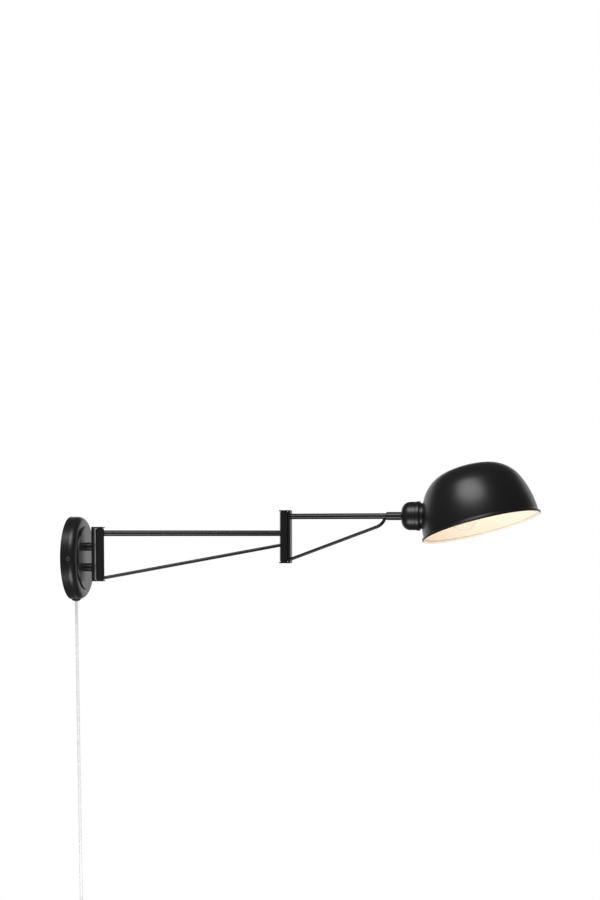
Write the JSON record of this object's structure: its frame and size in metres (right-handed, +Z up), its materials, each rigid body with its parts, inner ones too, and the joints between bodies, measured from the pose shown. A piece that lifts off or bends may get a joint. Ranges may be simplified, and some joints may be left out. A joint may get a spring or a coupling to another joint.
{
  "type": "wall sconce",
  "caption": "Plug-in wall sconce: a round wall plate carries hinged, braced arms with a swivelling dome shade and a clear globe bulb, and a hanging cord with switch and plug.",
  "frame": {"origin": "middle of the wall plate's back, on the wall", "axes": "+X straight out of the wall, +Z up, -Y to the viewer's side in the picture"},
  "size_m": [0.6771, 0.1712, 0.8707],
  "materials": {
    "black_paint": "satin",
    "steel": "satin",
    "brass": "satin",
    "nickel": "polished",
    "white_plastic": "matte",
    "grip_plastic": "matte",
    "cord_plastic": "translucent",
    "clear_plastic": "translucent",
    "clear_glass": "clear",
    "filament": "glowing"
  },
  "bodies": {
    "root": {"wall_plate": "black_paint", "wall_strap": "steel", "plate_stiffener": "steel", "plate_side_screws": "black_paint", "upper_post": "black_paint", "lower_post": "black_paint", "post_nipples": "steel", "post_nuts": "steel", "terminal_block": "white_plastic", "terminal_screws": "steel", "wall_fork": "black_paint", "wall_pivot_pins": "black_paint", "cord_grip": "grip_plastic", "cord_grip_nut": "grip_plastic", "supply_lead": "cord_plastic", "cord_drop": "cord_plastic", "switch_back": "clear_plastic", "switch_front": "clear_plastic", "rocker_axle": "steel", "cord_tail": "cord_plastic", "cord_coil": "cord_plastic", "coil_tie": "grip_plastic", "plug_lead": "cord_plastic", "mains_plug": "clear_plastic", "plug_pins": "nickel"},
    "arm_1": {"wall_upright": "black_paint", "wall_upright_plug_upper": "steel", "wall_upright_plug_lower": "steel", "wall_pivot_washers": "steel", "arm_1_tube": "black_paint", "arm_1_brace": "black_paint", "arm_1_lead": "cord_plastic", "elbow_upright": "black_paint", "elbow_upright_plug_upper": "steel", "elbow_upright_plug_lower": "steel", "elbow_pivot_washers": "steel", "upright_grub_screws": "black_paint"},
    "arm_2": {"elbow_fork": "black_paint", "elbow_pivot_pins": "black_paint", "arm_2_tube": "black_paint", "arm_2_brace": "black_paint", "arm_2_lead": "cord_plastic", "swivel_sleeve": "black_paint", "sleeve_grub_screw": "black_paint", "swivel_nipple": "steel", "swivel_washer": "steel", "swivel_nut": "steel"},
    "lamp_head": {"socket_cup": "black_paint", "cup_ring": "black_paint", "shade_spacer": "black_paint", "shade": "black_paint", "shade_clamp_ring": "steel", "lamp_holder": "white_plastic", "holder_shell": "nickel", "holder_contact": "brass", "bulb_glass": "clear_glass", "bulb_cap": "nickel", "bulb_stem": "clear_glass", "bulb_filaments": "filament"},
    "rocker": {"switch_rocker": "white_plastic"}
  },
  "joints": [
    {"name": "wall_swing", "type": "hinge", "parent": "root", "child": "arm_1", "pos_m": [0.04245, 0, 0.0058], "axis": [0, 0, 1], "range_deg": [-85, 55]},
    {"name": "elbow_swing", "type": "hinge", "parent": "arm_1", "child": "arm_2", "pos_m": [0.30441, 0.07019, 0.0308], "axis": [0, 0, -1], "range_deg": [-139, 91]},
    {"name": "head_swivel", "type": "hinge", "parent": "arm_2", "child": "lamp_head", "pos_m": [0.47963, 0.04244, 0.061], "axis": [0.9877, -0.1564, 0], "range_deg": [-143.5, 156.5]},
    {"name": "rocker_tilt", "type": "hinge", "parent": "root", "child": "rocker", "pos_m": [0.01355, 0, -0.538], "axis": [0, 1, 0], "range_deg": [-16, 0]}
  ]
}
